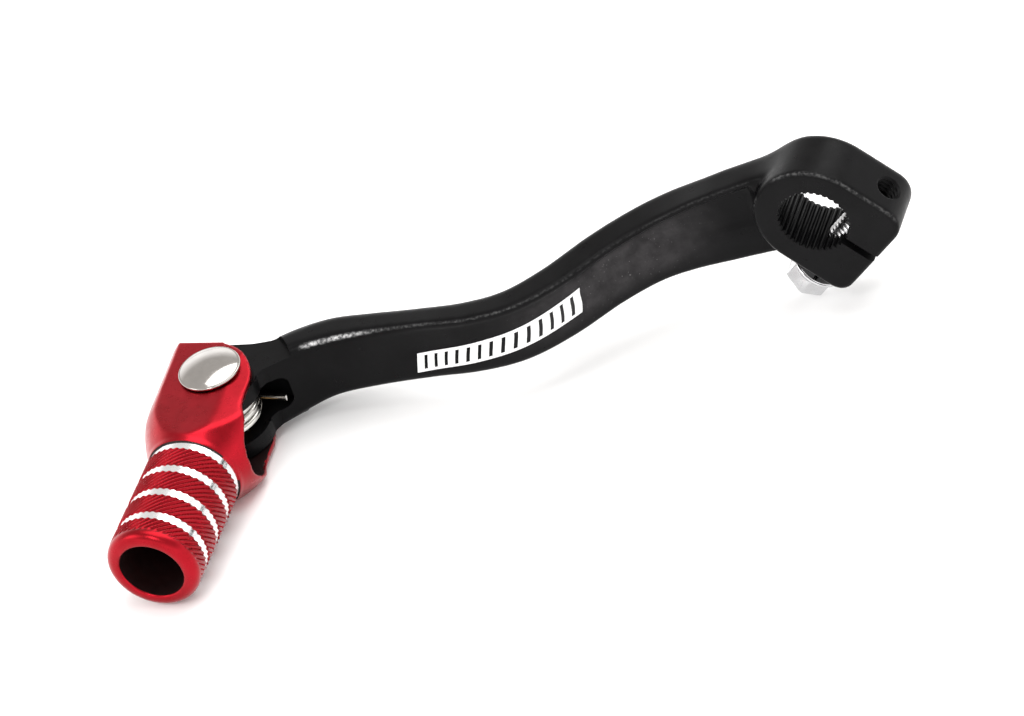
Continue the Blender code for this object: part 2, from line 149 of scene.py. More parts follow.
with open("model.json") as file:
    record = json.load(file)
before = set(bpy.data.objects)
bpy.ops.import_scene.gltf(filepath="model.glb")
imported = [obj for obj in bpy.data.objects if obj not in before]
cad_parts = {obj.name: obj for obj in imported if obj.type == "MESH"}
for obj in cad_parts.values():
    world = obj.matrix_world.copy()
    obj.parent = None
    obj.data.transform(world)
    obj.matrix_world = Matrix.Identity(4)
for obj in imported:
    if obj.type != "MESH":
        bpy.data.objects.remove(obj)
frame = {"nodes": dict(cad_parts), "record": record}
CAD_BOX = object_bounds()
PIN_AT = Vector(frame["record"]["behaviour"]["joints"][0]["pos_m"]) / MM

# ---------------------------------------------------------------- small geometry helpers


def axes_matrix(x_axis, y_axis, origin):
    """Frame, in metres, whose first two axes are given; the origin is in millimetres."""
    x_axis, y_axis = Vector(x_axis).normalized(), Vector(y_axis).normalized()
    rotation = Matrix((x_axis, y_axis, x_axis.cross(y_axis))).transposed()
    return Matrix.Translation(Vector(origin) * MM) @ rotation.to_4x4() @ Matrix.Scale(MM, 4)


SLIT_DIR = Vector((math.cos(EAR_ANGLE), 0.0, math.sin(EAR_ANGLE)))
HEAD_DIR = Vector((-math.sin(EAR_ANGLE), 0.0, math.cos(EAR_ANGLE)))
CLAMP_MIDDLE = Vector((0.0, 0.5 * (CLAMP_OUTER - CLAMP_INNER), 0.0))
BORE = axes_matrix((1, 0, 0), (0, 0, 1), (0, 0, 0))
BOLT = axes_matrix((0, 1, 0), HEAD_DIR.cross(Vector((0, 1, 0))), SLIT_DIR * BOLT_REACH + CLAMP_MIDDLE)
PIN = axes_matrix((1, 0, 0), (0, 1, 0), PIN_AT)
PEG = axes_matrix((1, 0, 0), (0, 0, -1), PIN_AT)
SLOT = axes_matrix((0, 1, 0), (0, 0, 1), PIN_AT)
FLATS = axes_matrix((1, 0, 0), (0, 0, 1), PIN_AT)


def arc(centre, radius, start, end, steps):
    """Points along an arc, angles in degrees."""
    points = []
    for i in range(steps + 1):
        angle = math.radians(start + (end - start) * i / steps)
        points.append((centre[0] + radius * math.cos(angle), centre[1] + radius * math.sin(angle)))
    return points


def smoothstep(low, high, value):
    t = min(max((value - low) / (high - low), 0.0), 1.0)
    return t * t * (3.0 - 2.0 * t)


def mesh_object(name, points, faces, place=Matrix.Identity(4)):
    mesh = bpy.data.meshes.new(name)
    mesh.from_pydata([tuple(place @ Vector(p)) for p in points], [], faces)
    mesh.update()
    bm = bmesh.new()
    bm.from_mesh(mesh)
    bmesh.ops.recalc_face_normals(bm, faces=bm.faces)
    bm.to_mesh(mesh)
    bm.free()
    obj = bpy.data.objects.new(name, mesh)
    bpy.context.scene.collection.objects.link(obj)
    return obj


def prism(name, outline, low, high, place):
    count = len(outline)
    points = [(u, v, low) for u, v in outline] + [(u, v, high) for u, v in outline]
    faces = [tuple(range(count)), tuple(range(2 * count - 1, count - 1, -1))]
    faces += [(i, (i + 1) % count, count + (i + 1) % count, count + i) for i in range(count)]
    return mesh_object(name, points, faces, place)


def rings_object(name, rings, place=Matrix.Identity(4), closed_loop=False):
    """Skin over rings of equally many points; the ends are capped unless the rings close on themselves."""
    count = len(rings[0])
    points = [p for ring in rings for p in ring]
    faces = []
    spans = len(rings) if closed_loop else len(rings) - 1
    for i in range(spans):
        a, b = i * count, ((i + 1) % len(rings)) * count
        faces += [(a + k, a + (k + 1) % count, b + (k + 1) % count, b + k) for k in range(count)]
    if not closed_loop:
        faces.append(tuple(range(count)))
        faces.append(tuple(range(len(points) - 1, len(points) - count - 1, -1)))
    return mesh_object(name, points, faces, place)


def turned(name, profile, place, sides=128):
    """Closed solid from (radius, height) pairs spun about the third axis; ends on the axis are capped."""
    rings = []
    for radius, height in profile:
        radius = max(radius, 0.02)
        rings.append([(radius * math.cos(2 * math.pi * k / sides), radius * math.sin(2 * math.pi * k / sides),
                       height) for k in range(sides)])
    return rings_object(name, rings, place)


def turned_loop(name, profile, place, sides=128):
    """Ring-shaped solid: the profile closes on itself."""
    rings = [[(r * math.cos(2 * math.pi * k / sides), r * math.sin(2 * math.pi * k / sides), h)
              for k in range(sides)] for r, h in profile]
    return rings_object(name, rings, place, closed_loop=True)


def cylinder(name, radius, low, high, place, sides=96):
    return turned(name, [(0.0, high), (radius, high), (radius, low), (0.0, low)], place, sides)


def apply_modifiers(obj):
    bpy.context.view_layer.update()
    evaluated = obj.evaluated_get(bpy.context.evaluated_depsgraph_get())
    mesh = bpy.data.meshes.new_from_object(evaluated)
    obj.modifiers.clear()
    old = obj.data
    obj.data = mesh
    mesh.name = obj.name
    bpy.data.meshes.remove(old)
    return obj


def combine(obj, tools, operation):
    """Exact booleans, applied, with the tools removed afterwards."""
    for tool in tools:
        modifier = obj.modifiers.new(tool.name, "BOOLEAN")
        modifier.operation = operation
        modifier.solver = "EXACT"
        modifier.object = tool
    apply_modifiers(obj)
    for tool in tools:
        bpy.data.objects.remove(tool, do_unlink=True)
    return obj


def weld(obj, *others):
    """Put several closed shells in one mesh, ready for a voxel remesh to fuse them."""
    bm = bmesh.new()
    for piece in (obj, *others):
        bm.from_mesh(piece.data)
    bm.to_mesh(obj.data)
    bm.free()
    for piece in others:
        bpy.data.objects.remove(piece, do_unlink=True)
    return obj


def remesh(obj, voxel):
    modifier = obj.modifiers.new("Remesh", "REMESH")
    modifier.mode = "VOXEL"
    modifier.voxel_size = voxel * MM
    return apply_modifiers(obj)


def relax(obj, weight_of, iterations, factor=0.5):
    """Smooth the vertices by how much weight_of (given millimetre coordinates) says."""
    group = obj.vertex_groups.new(name="relax")
    levels = {}
    for vertex in obj.data.vertices:
        weight = round(weight_of(vertex.co / MM), 1)
        if weight > 0.0:
            levels.setdefault(weight, []).append(vertex.index)
    for weight, indices in levels.items():
        group.add(indices, weight, "REPLACE")
    modifier = obj.modifiers.new("Relax", "SMOOTH")
    modifier.factor = factor
    modifier.iterations = iterations
    modifier.vertex_group = group.name
    apply_modifiers(obj)
    obj.vertex_groups.clear()
    return obj


def thread(name, core, crest, pitch, low, high, place, sides=40, steps=8):
    """Threaded rod with a true helix: the radius follows the angle and the height together."""
    count = int((high - low) / pitch * steps)
    rings = []
    for i in range(count + 1):
        height = low + (high - low) * i / count
        fade = smoothstep(0.0, 0.8, min(height - low, high - height))
        ring = []
        for k in range(sides):
            phase = (height / pitch - k / sides) % 1.0
            flank = 1.0 - abs(2.0 * phase - 1.0)
            radius = core + (crest - core) * min(max(1.4 * flank - 0.2, 0.0), 1.0) * fade
            angle = 2 * math.pi * k / sides
            ring.append((radius * math.cos(angle), radius * math.sin(angle), height))
        rings.append(ring)
    return rings_object(name, rings, place)


def shade(obj, angle):
    """Smooth shading, with edges steeper than the angle in degrees kept sharp."""
    obj.data.shade_smooth()
    obj.data.set_sharp_from_angle(angle=math.radians(angle))


def dress(obj, *materials):
    """Give a piece its materials; every face starts with the first."""
    obj.data.materials.clear()
    for material in materials:
        obj.data.materials.append(material)
    obj.data.polygons.foreach_set("material_index", [0] * len(obj.data.polygons))


# ---------------------------------------------------------------- materials


class Nodes:
    """Short names for building a node tree."""

    def __init__(self, name):
        self.material = bpy.data.materials.new(name)
        self.material.use_nodes = True
        self.tree = self.material.node_tree
        self.shader = self.tree.nodes["Principled BSDF"]
        self.place = self.add("ShaderNodeTexCoord").outputs["Object"]

    def add(self, kind, **values):
        node = self.tree.nodes.new(kind)
        for key, value in values.items():
            setattr(node, key, value)
        return node

    def link(self, source, target):
        self.tree.links.new(source, target)

    def set(self, **sockets):
        for name, value in sockets.items():
            self.shader.inputs[name.replace("_", " ")].default_value = value

    def noise(self, size_mm, detail=4.0, roughness=0.55, stretch=(1, 1, 1)):
        mapping = self.add("ShaderNodeMapping")
        mapping.inputs["Scale"].default_value = stretch
        self.link(self.place, mapping.inputs["Vector"])
        node = self.add("ShaderNodeTexNoise")
        node.inputs["Scale"].default_value = 1.0 / (size_mm * MM)
        node.inputs["Detail"].default_value = detail
        node.inputs["Roughness"].default_value = roughness
        self.link(mapping.outputs["Vector"], node.inputs["Vector"])
        return node.outputs["Fac"]

    def spread(self, value, low, high):
        """Stretch a noise, which mostly stays between 0.3 and 0.7, over the range low to high."""
        node = self.add("ShaderNodeMapRange")
        for key, number in (("From Min", 0.3), ("From Max", 0.7), ("To Min", low), ("To Max", high)):
            node.inputs[key].default_value = number
        self.link(value, node.inputs["Value"])
        return node.outputs["Result"]

    def ramp(self, value, *stops):
        node = self.add("ShaderNodeValToRGB")
        elements = node.color_ramp.elements
        while len(elements) < len(stops):
            elements.new(0.5)
        for element, (position, colour) in zip(elements, stops):
            element.position = position
            element.color = (*colour, 1.0)
        self.link(value, node.inputs["Fac"])
        return node.outputs["Color"]

    def mix(self, factor, first, second):
        node = self.add("ShaderNodeMix", data_type="RGBA")
        self.link(factor, node.inputs["Factor"])
        self.link(first, node.inputs["A"])
        self.link(second, node.inputs["B"])
        return node.outputs["Result"]

    def maths(self, operation, first, second):
        node = self.add("ShaderNodeMath", operation=operation)
        for socket, value in zip(node.inputs, (first, second)):
            if isinstance(value, (int, float)):
                socket.default_value = value
            else:
                self.link(value, socket)
        return node.outputs["Value"]

    def bump(self, *layers):
        """Layers of (height, depth in mm, strength), one on top of the other."""
        normal = None
        for height, depth, strength in layers:
            node = self.add("ShaderNodeBump")
            node.inputs["Strength"].default_value = strength
            node.inputs["Distance"].default_value = depth * MM
            self.link(height, node.inputs["Height"])
            if normal is not None:
                self.link(normal, node.inputs["Normal"])
            normal = node.outputs["Normal"]
        self.link(normal, self.shader.inputs["Normal"])


def black_anodised():
    """Satin black dye with painted highlights along the clamp's front edge and the arm's ridge; where the
    arm's pocket was left as forged it is greyer, rougher and specked, and carries a painted sheen where it
    faces the light.
    """
    n = Nodes("black_anodised")
    n.set(Metallic=0.0, IOR=1.5, Specular_IOR_Level=0.08)
    # as-forged skin, greyer and specked, with a painted sheen where the pocket faces the light
    skin_and_sheen = n.add("ShaderNodeAttribute", attribute_name="skin_and_sheen").outputs["Fac"]
    patches = n.noise(9.0, 3.0)
    blotches = n.noise(3.5, 5.0, 0.6)
    colour = n.ramp(patches, (0.35, (0.0022, 0.0021, 0.0024)), (0.7, (0.0040, 0.0039, 0.0043)))
    # painted highlight: the clamp's front edge and the arm's ridge are lightened, with glints, where they
    # face the lights
    painted_highlight = n.add("ShaderNodeAttribute", attribute_name="painted_highlight").outputs["Fac"]
    painted_glint = n.ramp(n.noise(0.6), (0.42, (0.090, 0.090, 0.092)), (0.68, (0.62, 0.62, 0.62)))
    grey = n.ramp(blotches, (0.30, (0.018, 0.0168, 0.0177)), (0.7, (0.042, 0.0395, 0.0410)))
    light = n.ramp(patches, (0.0, (0.08, 0.078, 0.078)), (1.0, (0.13, 0.125, 0.125)))
    specks = n.ramp(n.noise(0.45, 2.0, 0.4), (0.70, (0.0, 0.0, 0.0)), (0.76, (1.0, 1.0, 1.0)))
    skin = n.mix(skin_and_sheen, n.mix(painted_highlight, colour, painted_glint), grey)
    n.link(n.mix(n.maths("MULTIPLY", specks, skin_and_sheen), skin, light), n.shader.inputs["Base Color"])
    smooth = n.spread(n.noise(2.5, 5.0), 0.26, 0.40)
    n.link(n.maths("ADD", smooth, n.maths("MULTIPLY", skin_and_sheen, 0.16)), n.shader.inputs["Roughness"])
    rough = n.maths("MULTIPLY", n.noise(0.5, 4.0, 0.6), n.maths("ADD", n.maths("MULTIPLY", skin_and_sheen, 0.8), 0.2))
    n.bump((n.noise(0.9, 3.0), 0.03, 0.22), (rough, 0.10, 0.35), (n.noise(0.16, 2.0), 0.012, 0.25))
    return n.material


def red_anodised(name, depth):
    """Clear red dye over bright metal; depth scales its colour, and the ribs are given a darker copy."""
    n = Nodes(name)
    n.set(Metallic=1.0, Coat_Weight=0.15, Coat_Roughness=0.3, Coat_IOR=1.5)
    patches = n.noise(7.0, 3.0)
    low, high = (tuple(depth * c for c in tone) for tone in ((0.30, 0.003, 0.009), (0.38, 0.005, 0.014)))
    n.link(n.ramp(patches, (0.35, low), (0.7, high)), n.shader.inputs["Base Color"])
    n.link(n.spread(n.noise(1.8, 4.0), 0.24, 0.36), n.shader.inputs["Roughness"])
    n.bump((n.noise(0.7, 3.0), 0.02, 0.18), (n.noise(0.12, 2.0), 0.008, 0.22))
    return n.material


def painted_shade_red():
    """Painted shade: a near-black red for the peg's bore and the head's slot, which lie in shadow."""
    n = Nodes("painted_shade_red")
    n.set(Metallic=0.5)
    patches = n.noise(3.0, 4.0)
    colour = n.ramp(patches, (0.35, (0.009, 0.001, 0.001)), (0.7, (0.018, 0.002, 0.002)))
    n.link(colour, n.shader.inputs["Base Color"])
    n.link(n.spread(n.noise(1.0, 4.0), 0.45, 0.6), n.shader.inputs["Roughness"])
    n.bump((n.noise(0.8, 3.0, stretch=(0.3, 6.0, 0.3)), 0.02, 0.3))
    return n.material


def bare_aluminium():
    """Fresh cut: fine turning lines run round the peg."""
    n = Nodes("bare_aluminium")
    n.set(Metallic=1.0)
    lines = n.noise(2.0, 6.0, 0.7, stretch=(0.15, 30.0, 0.15))
    n.link(n.ramp(lines, (0.3, (0.80, 0.80, 0.81)), (0.7, (0.93, 0.93, 0.93))), n.shader.inputs["Base Color"])
    n.link(n.spread(n.noise(1.5, 4.0), 0.12, 0.24), n.shader.inputs["Roughness"])
    n.bump((lines, 0.010, 0.25))
    return n.material


def steel(name, tone, rough_low, rough_high, grain_mm, depth, metallic=1.0):
    n = Nodes(name)
    n.set(Metallic=metallic)
    darker = tuple(0.88 * c for c in tone)
    n.link(n.ramp(n.noise(3.0, 4.0), (0.35, darker), (0.7, tone)), n.shader.inputs["Base Color"])
    n.link(n.spread(n.noise(1.3, 5.0), rough_low, rough_high), n.shader.inputs["Roughness"])
    scratches = n.noise(grain_mm, 4.0, 0.6, stretch=(1.0, 0.12, 1.0))
    n.bump((scratches, depth, 0.25), (n.noise(grain_mm * 0.3, 2.0), depth * 0.5, 0.2))
    return n.material


def etched_white():
    n = Nodes("etched_white")
    n.set(Metallic=0.0, Specular_IOR_Level=0.3)
    grain = n.noise(0.18, 3.0)
    colour = n.ramp(grain, (0.35, (0.70, 0.70, 0.70)), (0.6, (0.90, 0.90, 0.90)))
    n.link(colour, n.shader.inputs["Base Color"])
    n.link(n.spread(n.noise(0.5), 0.45, 0.65), n.shader.inputs["Roughness"])
    n.bump((grain, 0.008, 0.3))
    return n.material


def floor_paper():
    n = Nodes("floor_paper")
    n.set(Specular_IOR_Level=0.1, Roughness=0.9)
    fibre = n.noise(40.0, 3.0)
    n.link(n.ramp(fibre, (0.0, (0.93, 0.93, 0.93)), (1.0, (0.95, 0.95, 0.95))), n.shader.inputs["Base Color"])
    return n.material


# ---------------------------------------------------------------- the forged arm


def between(rows, index, t):
    """Catmull-Rom value between two rows."""
    p0, p1, p2 = rows[max(index - 1, 0)], rows[index], rows[index + 1]
    p3 = rows[min(index + 2, len(rows) - 1)]
    return [0.5 * (2 * b + (c - a) * t + (2 * a - 5 * b + 4 * c - d) * t ** 2
                   + (3 * b - a - 3 * c + d) * t ** 3) for a, b, c, d in zip(p0, p1, p2, p3)]


def arm_rows():
    rows = [between(ARM, i, s / ARM_STEPS) for i in range(len(ARM) - 1) for s in range(ARM_STEPS)]
    return rows + [list(ARM[-1])]


def arm_directions(rows):
    """Unit vector out of the arm's outer face at each row."""
    directions = []
    for i in range(len(rows)):
        before, after = rows[max(i - 1, 0)], rows[min(i + 1, len(rows) - 1)]
        along = Vector((after[0] - before[0], after[1] - before[1], 0.0)).normalized()
        directions.append(Vector((-along.y, along.x, 0.0)))
    return directions


def recess_at(x, v, half_high, ridge):
    """How far the outer face lies behind its own plane: a pocket that fades towards the tip."""
    start, end = smoothstep(12.3, 13.6, x), 1.0 - smoothstep(66.0, 88.0, x)
    reach = start * (1.0 - 0.78 * smoothstep(30.0, 60.0, x)) * end
    top = half_high - ridge - 0.1
    low = half_high * (1.0 - 2.0 * RECESS_SHARE)
    return RECESS_DEPTH * reach * smoothstep(0.0, 0.8, top - v) * smoothstep(-0.4, 2.6, v - low)


def arm_section(row):
    """Section of the forging, counter-clockwise from the outer face's foot."""
    x, _, _, half_thick, half_high = row
    ridge = 1.0 + 0.9 * smoothstep(72.0, 96.0, x)
    foot, rear_top, rear_foot = 1.6, 2.4 + 1.5 * smoothstep(90.0, 103.0, x), 2.2
    points = []
    face_low, face_high = foot - half_high, half_high - ridge
    for i in range(37):
        v = face_low + (face_high - face_low) * i / 36
        points.append((half_thick - recess_at(x, v, half_high, ridge), v))
    points += arc((half_thick - ridge, half_high - ridge), ridge, 0, 90, 6)[1:]
    points += arc((rear_top - half_thick, half_high - rear_top), rear_top, 90, 180, 9)
    points += arc((rear_foot - half_thick, rear_foot - half_high), rear_foot, 180, 270, 8)
    points += arc((half_thick - foot, foot - half_high), foot, 270, 360, 8)[:-1]
    return points


def arm_body():
    rows = arm_rows()
    rings = []
    for row, outward in zip(rows, arm_directions(rows)):
        centre = Vector(row[:3])
        rings.append([(centre + outward * u + Vector((0, 0, v))) * MM for u, v in arm_section(row)])
    return rings_object("lever_arm_forging", rings)


def in_slit_frame(points):
    """Turn (along slit, towards bolt head) pairs into (x, z) pairs."""
    places = [SLIT_DIR * q + HEAD_DIR * t for q, t in points]
    return [(place.x, place.z) for place in places]


def clamp_outline(inset):
    points = arc((0, 0), EYE_RADIUS - inset, 90, 270, 48)
    for corner, side, start in ((TAPPED_EAR_CORNER, -1, 270), (EAR_CORNER, 1, 0)):
        centre = (EAR_REACH - corner, side * (EYE_RADIUS - corner))
        points += arc(centre, corner - inset, start, start + 90, 10)
    return in_slit_frame(points)


def clamp_body():
    """The clamp's blank: crisp round its outer face, generously rounded round its inner one."""
    layers = []
    for i in range(5):
        angle = math.radians(90 * i / 4)
        depth = FRONT_FILLET * (1 - math.cos(angle)) - CLAMP_OUTER
        layers.append((FRONT_FILLET * (1 - math.sin(angle)), depth))
    for i in range(7):
        angle = math.radians(90 * i / 6)
        depth = CLAMP_INNER - BACK_FILLET * (1 - math.sin(angle))
        layers.append((BACK_FILLET * (1 - math.cos(angle)), depth))
    rings = [[(u, v, depth) for u, v in clamp_outline(inset)] for inset, depth in layers]
    return rings_object("clamp_blank", rings, BORE)


def fork_outline():
    points = arc((0, 0), FORK_RADIUS, 0, 190, 48)
    points += [(-9.3, -3.9), (-11.2, -6.0), (-13.0, -7.2), (-10.6, -11.0)]
    points += [(-8.0, -11.4), (-4.5, -FORK_BACK - 0.2), (0.0, -FORK_BACK)]
    points += arc((FORK_RADIUS - 1.0, 1.0 - FORK_BACK), 1.0, 270, 360, 6)
    return points


def spline_outline():
    """Internal teeth with rounded flanks."""
    points = []
    mean, swing = 0.5 * (TOOTH_ROOT + TOOTH_TIP), 0.5 * (TOOTH_ROOT - TOOTH_TIP)
    per_tooth = 10
    for i in range(TEETH * per_tooth):
        angle = 2 * math.pi * i / (TEETH * per_tooth)
        wave = 1.7 * math.cos(TEETH * angle)
        radius = mean - swing * max(-1.0, min(1.0, wave))
        points.append((radius * math.cos(angle), radius * math.sin(angle)))
    return points


def mill_clamp(arm):
    tools = [prism("spline_cut", spline_outline(), -9.0, 9.0, BORE)]
    for low, high in ((CLAMP_INNER - 0.3, CLAMP_INNER + 1.0), (0.3 - CLAMP_OUTER, -CLAMP_OUTER - 1.0)):
        cone = [(0.0, high), (TOOTH_TIP + 1.3, high), (TOOTH_TIP, low), (0.0, low)]
        tools.append(turned("mouth_cut", cone, BORE))
    slit = [(5.0, -SLIT_WIDTH / 2), (20.0, -SLIT_WIDTH / 2), (20.0, SLIT_WIDTH / 2), (5.0, SLIT_WIDTH / 2)]
    tools.append(prism("slit_cut", in_slit_frame(slit), -9.0, 9.0, BORE))
    tools.append(cylinder("bolt_hole_cut", BOLT_RADIUS + GAP, -1.0, 20.0, BOLT, 64))
    end_core = BOLT_CORE - 0.3      # past the bolt's tip the thread runs out in a narrower mouth
    mouth = [(0.0, -20.0), (BOLT_RADIUS + 4.0, -15.9), (end_core, -11.6), (0.0, -11.6)]
    tools.append(thread("tapped_cut", BOLT_CORE, BOLT_RADIUS + 0.12, BOLT_PITCH, BOLT_TIP - 0.8, 0.5, BOLT))
    tools.append(thread("tapped_end_cut", end_core, end_core + 0.5, BOLT_PITCH, -20.0, BOLT_TIP, BOLT))
    tools.append(turned("tapped_mouth_cut", mouth, BOLT, 64))
    return combine(arm, tools, "DIFFERENCE")


def mill_fork(arm):
    tools = [cylinder("relief_top", RELIEF_RADIUS, FORK_HALF_HEIGHT, 20.0, PIN, 160),
             cylinder("relief_bottom", RELIEF_RADIUS, -20.0, -FORK_HALF_HEIGHT, PIN, 160),
             cylinder("spring_pocket", POCKET_RADIUS, -POCKET_HALF_HEIGHT, POCKET_HALF_HEIGHT, PIN),
             cylinder("bush_seat", BUSH_SEAT, -20.0, 20.0, PIN)]
    inner = POCKET_HALF_HEIGHT - POCKET_CORNER
    mouth = [(12.0, -POCKET_HALF_HEIGHT), (12.0, POCKET_HALF_HEIGHT)]
    mouth += arc((POCKET_CORNER - POCKET_REACH, inner), POCKET_CORNER, 90, 180, 10)
    mouth += arc((POCKET_CORNER - POCKET_REACH, -inner), POCKET_CORNER, 180, 270, 10)
    tools.append(prism("pocket_mouth", mouth, -12.0, POCKET_DEPTH, FLATS))
    return combine(arm, tools, "DIFFERENCE")


def clamp_fillet(p):
    """Where the arm runs into the clamp: strong behind and above, light on the outer face."""
    radius = math.hypot(p.x, p.z)
    near = smoothstep(9.8, 11.6, radius) * (1.0 - smoothstep(15.0, 20.0, radius)) * smoothstep(1.5, 6.0, p.x)
    return near * (1.0 - smoothstep(0.5, 2.6, p.y))


def skin_and_sheen_weight(p, rows, directions):
    """How much of the as-forged skin shows, with a painted sheen where the pocket faces the light: most in
    the middle of the arm's outer face, fading all round.
    """
    along = smoothstep(16.0, 33.0, p.x) * (1.0 - smoothstep(40.0, 64.0, p.x))
    if along <= 0.0:
        return 0.0
    best = min(range(len(rows)), key=lambda i: (rows[i][0] - p.x) ** 2 + (rows[i][1] - p.y) ** 2)
    row = rows[best]
    outward = (p - Vector(row[:3])).dot(directions[best])
    share = (p.z - row[2]) / row[4]
    across = smoothstep(-0.95, -0.1, share) * (1.0 - smoothstep(0.55, 0.92, share))
    return along * across * smoothstep(0.1, 0.5, outward / row[3])


def painted_highlight_weight(p, normal, rows, stations):
    """Painted highlight: lightens the clamp's front edge and the ridge over the arm's outer face where their
    normals turn towards the lights.
    """
    if p.x < CLAMP_END:
        edge = smoothstep(0.25, 0.55, normal.y) * (1.0 - smoothstep(0.80, 0.97, normal.y))
        near = smoothstep(9.6, 10.6, math.hypot(p.x, p.z)) * smoothstep(2.0, 4.0, abs(p.dot(HEAD_DIR)))
        return 0.12 * edge * near * smoothstep(0.05, 0.35, normal.z) * smoothstep(3.6, 4.6, p.y)
    row = rows[min(bisect.bisect(stations, p.x), len(rows) - 1)]
    edge = smoothstep(0.40, 0.60, normal.z) * (1.0 - smoothstep(0.72, 0.90, normal.z))
    near = smoothstep(0.55, 0.75, (p.z - row[2]) / row[4]) * smoothstep(0.1, 0.3, normal.y)
    along = 0.04 + 0.06 * smoothstep(40.0, 60.0, p.x) + 0.90 * smoothstep(80.0, 91.0, p.x)
    return edge * near * along * (1.0 - smoothstep(97.0, 99.0, p.x))


def lever_arm():
    forging = weld(arm_body(), clamp_body(),
                   prism("fork_blank", fork_outline(), -FORK_HALF_HEIGHT - 1.2, FORK_HALF_HEIGHT + 1.2, PIN))
    remesh(forging, VOXEL_ARM)
    relax(forging, clamp_fillet, 60)
    relax(forging, lambda p: 1.0, 4)
    mill_fork(mill_clamp(forging))
    shade(forging, 50)
    dress(forging, black_anodised())
    mesh = forging.data
    rows = arm_rows()
    directions = arm_directions(rows)
    # the forged skin's weights also carry its painted sheen
    skin_and_sheen = [skin_and_sheen_weight(vertex.co / MM, rows, directions) for vertex in mesh.vertices]
    stations = [row[0] for row in rows]
    # painted highlight weights for the edges that face the lights
    painted_highlight = [painted_highlight_weight(vertex.co / MM, vertex.normal, rows, stations) for vertex in mesh.vertices]
    for name, weights in (("skin_and_sheen", skin_and_sheen), ("painted_highlight", painted_highlight)):
        mesh.attributes.new(name, "FLOAT", "POINT").data.foreach_set("value", weights)
    return forging


def etched_band(arm):
    """Plain slanted bars between two rails, laid on the outer face; it carries no lettering."""
    rows = arm_rows()
    directions = arm_directions(rows)
    start, end, height, rail = 47.2, 77.8, 4.6, 0.6
    line = []
    travelled = 0.0
    for i, (row, outward) in enumerate(zip(rows, directions)):
        if i:
            travelled += math.hypot(row[0] - rows[i - 1][0], row[1] - rows[i - 1][1])
        line.append((travelled, row, outward))
    spans = [entry for entry in line if start <= entry[1][0] <= end]
    first, last = spans[0][0], spans[-1][0]

    def place(along, across):
        index = min(range(len(line)), key=lambda i: abs(line[i][0] - along))
        other = index + 1 if along > line[index][0] else index - 1
        share = (along - line[index][0]) / (line[other][0] - line[index][0])
        row = [a + (b - a) * share for a, b in zip(line[index][1], line[other][1])]
        outward = line[index][2].lerp(line[other][2], share).normalized()
        drop = 4.6 + 2.6 * (along - first) / (last - first)
        return (Vector(row[:3]) + outward * (row[3] + 1.0) + Vector((0, 0, row[4] - drop - across))) * MM

    points, faces = [], []

    def strip(a0, a1, low, high, slant):
        steps = max(2, int((a1 - a0) / 0.5))
        rises = max(1, int((high - low) / 0.5))
        base = len(points)
        for i in range(steps + 1):
            for j in range(rises + 1):
                across = low + (high - low) * j / rises
                along = a0 + (a1 - a0) * i / steps + slant * (1.0 - across / height)
                points.append(place(along, across))
        for i in range(steps):
            for j in range(rises):
                a = base + i * (rises + 1) + j
                faces.append((a, a + 1, a + rises + 2, a + rises + 1))

    slant = -1.2
    strip(first, last, 0.0, rail, slant)
    strip(first, last, height - rail, height, slant)
    gaps, share = 14, 0.68
    pitch = (last - first) / (gaps + share)
    for i in range(gaps + 1):
        left = first + i * pitch
        strip(left, left + pitch * share, rail, height - rail, slant)
    band = mesh_object("etched_band", points, faces)
    bm = bmesh.new()
    bm.from_mesh(band.data)
    bmesh.ops.remove_doubles(bm, verts=bm.verts, dist=0.02 * MM)
    bm.to_mesh(band.data)
    bm.free()
    wrap = band.modifiers.new("Wrap", "SHRINKWRAP")
    wrap.target = arm
    wrap.wrap_method = "NEAREST_SURFACEPOINT"
    wrap.offset = 0.03 * MM
    solid = band.modifiers.new("Thickness", "SOLIDIFY")
    solid.thickness = 0.06 * MM
    solid.offset = 0.0
    apply_modifiers(band)
    dress(band, etched_white())
    shade(band, 40)
    return band


# ---------------------------------------------------------------- the folding tip


def head_body():
    profile = [(0.0, PEG_START + 1.0), (8.4, PEG_START + 1.0), (9.3, PEG_START), (9.55, 18.0), (10.2, 16.6),
               (11.2, 14.6), (12.1, 12.4), (12.7, 10.4), (HEAD_RADIUS, 8.4)]
    profile += [(HEAD_BACK_RADIUS, HEAD_BACK), (0.0, HEAD_BACK)]
    head = turned("folding_tip_body", profile, PEG, 160)
    half = FLAT_HALF_HEIGHT
    side = [(20, half), (-4.6, half), (-10.2, half - 1.6), (-20, half - 4.4),
            (-20, 4.4 - half), (-10.2, 1.6 - half), (-4.6, -half), (20, -half)]
    plan = [(20, HEAD_BACK - 1.0), (20, 60), (-20, 60), (-20, 14.5), (-12.9, 14.0), (-10.4, 11.0)]
    plan += [(-9.0, 8.0), (-8.5, 5.0)] + arc((2.6, 2.5), 11.0, 180, 255, 24) + [(0.5, HEAD_BACK - 1.0)]
    combine(head, [prism("head_flats", side, -60.0, 20.0, FLATS), prism("head_plan", plan, -30.0, 30.0, PIN)],
            "INTERSECT")
    slot = arc((SLOT_CENTRE, 0), SLOT_HALF_HEIGHT, 90, -90, 48)
    slot += [(-20.0, -SLOT_HALF_HEIGHT), (-20.0, SLOT_HALF_HEIGHT)]
    combine(head, [prism("slot_cut", slot, -20.0, SLOT_WALL, SLOT)], "DIFFERENCE")
    remesh(head, VOXEL_HEAD)

    def soften(p):
        """Only the flare between the flats and the peg is blended, and not the slot's walls."""
        place = p - PIN_AT
        flare = smoothstep(4.0, 9.0, place.y) * (1.0 - smoothstep(15.5, 18.0, place.y))
        inner = abs(place.z) < SLOT_HALF_HEIGHT + 0.3 and abs(place.x) < SLOT_WALL
        return 0.0 if inner else flare

    relax(head, soften, 45)
    relax(head, lambda p: 1.0, 2)
    trim = prism("head_trim", [(-30, PEG_START), (30, PEG_START), (30, 60), (-30, 60)], -30, 30, PIN)
    return combine(head, [trim], "DIFFERENCE")


